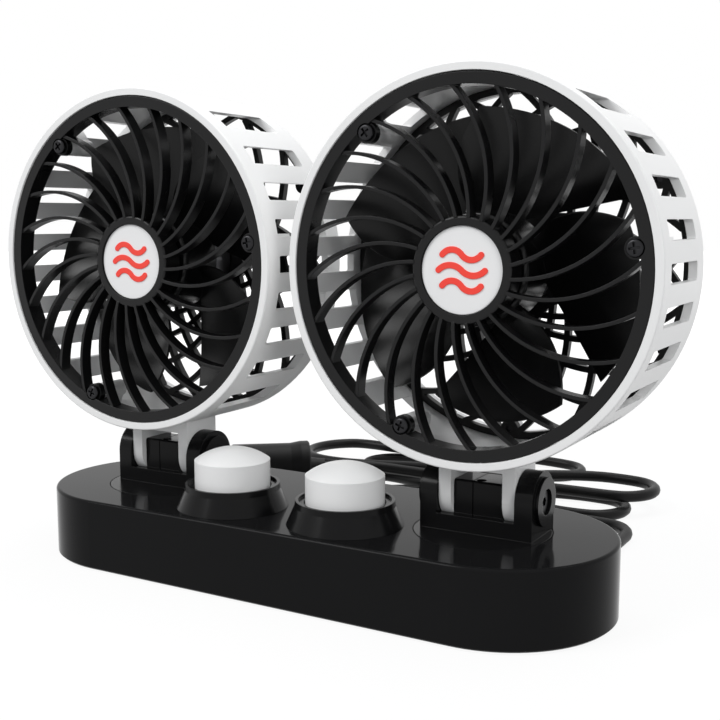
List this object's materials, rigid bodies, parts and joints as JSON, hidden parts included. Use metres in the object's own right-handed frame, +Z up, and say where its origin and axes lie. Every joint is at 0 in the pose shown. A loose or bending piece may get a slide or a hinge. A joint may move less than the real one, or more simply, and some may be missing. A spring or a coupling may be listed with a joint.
{
  "type": "dual head car fan",
  "caption": "Two round caged fan heads that swivel and tilt on one long base with a push button each, and a tied cord with a car socket plug.",
  "frame": {"origin": "middle of the base's footprint, on the surface that the feet stand on", "axes": "+X along the base, -Y the side that the heads face, +Z up"},
  "size_m": [0.248, 0.237, 0.1684],
  "materials": {
    "base_black": "satin black moulded plastic",
    "plate_black": "matt black moulded plastic",
    "foot_rubber": "matt black rubber",
    "screw_steel": "plain zinc-plated steel",
    "screw_black": "blackened steel",
    "bracket_black": "gloss black moulded plastic",
    "hidden_black": "matt black moulded plastic",
    "drum_white": "soft-gloss white moulded plastic",
    "button_white": "satin white moulded plastic",
    "guard_black": "semi-gloss black moulded plastic",
    "grille_black": "satin black moulded plastic",
    "impeller_black": "semi-gloss black moulded plastic",
    "badge_white": "smooth white disc",
    "mark_red": "flat red",
    "motor_steel": "plain steel can",
    "shaft_steel": "polished steel",
    "cord_black": "satin black cord sheath",
    "grip_black": "soft black moulding",
    "tie_black": "matt black tie band",
    "plug_black": "satin black moulded plastic",
    "contact_metal": "nickel-plated spring metal"
  },
  "bodies": {
    "base": {"base_shell": "base_black", "base_plate": "plate_black", "base_screws": "screw_steel", "rubber_feet": "foot_rubber", "cord_grip": "grip_black", "inner_lead_left": "cord_black", "inner_lead_right": "cord_black", "power_cord": "cord_black", "cord_hank": "cord_black", "hank_tie": "tie_black", "plug_body": "plug_black", "plug_side_contacts": "contact_metal", "plug_nose_ring": "plug_black", "plug_boot": "grip_black", "push_switch_left": "hidden_black", "push_switch_right": "hidden_black", "button_bezel_left": "bracket_black", "button_bezel_right": "bracket_black"},
    "plug_tip": {"plug_tip": "contact_metal"},
    "swivel_left": {"swivel_bracket_left": "bracket_black", "swivel_retainer_left": "hidden_black", "retainer_screws_left": "screw_steel", "hinge_screw_left": "screw_black", "hinge_nut_left": "screw_steel"},
    "head_left": {"drum_housing_left": "drum_white", "front_guard_left": "guard_black", "guard_badge_left": "badge_white", "badge_mark_left": "mark_red", "guard_screws_left": "screw_black", "rear_grille_left": "grille_black", "rear_screws_left": "screw_black", "motor_left": "motor_steel", "motor_screws_left": "screw_steel"},
    "impeller_left": {"impeller_left": "impeller_black", "motor_shaft_left": "shaft_steel"},
    "button_left": {"button_cap_left": "button_white"},
    "swivel_right": {"swivel_bracket_right": "bracket_black", "swivel_retainer_right": "hidden_black", "retainer_screws_right": "screw_steel", "hinge_screw_right": "screw_black", "hinge_nut_right": "screw_steel"},
    "head_right": {"drum_housing_right": "drum_white", "front_guard_right": "guard_black", "guard_badge_right": "badge_white", "badge_mark_right": "mark_red", "guard_screws_right": "screw_black", "rear_grille_right": "grille_black", "rear_screws_right": "screw_black", "motor_right": "motor_steel", "motor_screws_right": "screw_steel"},
    "impeller_right": {"impeller_right": "impeller_black", "motor_shaft_right": "shaft_steel"},
    "button_right": {"button_cap_right": "button_white"}
  },
  "joints": [
    {"name": "swivel_left", "type": "hinge", "parent": "base", "child": "swivel_left", "pos_m": [-0.064, 0, 0.0227], "axis": [0, 0, 1], "range_deg": [-170, 170]},
    {"name": "tilt_left", "type": "hinge", "parent": "swivel_left", "child": "head_left", "pos_m": [-0.064, 0.003, 0.0362], "axis": [1, 0, 0], "range_deg": [-30, 30]},
    {"name": "impeller_left", "type": "hinge", "parent": "head_left", "child": "impeller_left", "pos_m": [-0.064, 0, 0.1084], "axis": [0, 1, 0], "continuous": true},
    {"name": "button_left", "type": "slide", "parent": "base", "child": "button_left", "axis": [0, 0, -1], "range_m": [0, 0.003], "stiffness_N_per_m": 400, "springref_m": -0.002},
    {"name": "swivel_right", "type": "hinge", "parent": "base", "child": "swivel_right", "pos_m": [0.064, 0, 0.0227], "axis": [0, 0, 1], "range_deg": [-170, 170]},
    {"name": "tilt_right", "type": "hinge", "parent": "swivel_right", "child": "head_right", "pos_m": [0.064, 0.003, 0.0362], "axis": [1, 0, 0], "range_deg": [-30, 30]},
    {"name": "impeller_right", "type": "hinge", "parent": "head_right", "child": "impeller_right", "pos_m": [0.064, 0, 0.1084], "axis": [0, 1, 0], "continuous": true},
    {"name": "button_right", "type": "slide", "parent": "base", "child": "button_right", "axis": [0, 0, -1], "range_m": [0, 0.003], "stiffness_N_per_m": 400, "springref_m": -0.002},
    {"name": "plug_tip", "type": "slide", "parent": "base", "child": "plug_tip", "axis": [0.788, 0.6157, 0], "range_m": [0, 0.003], "stiffness_N_per_m": 400, "springref_m": -0.002}
  ]
}
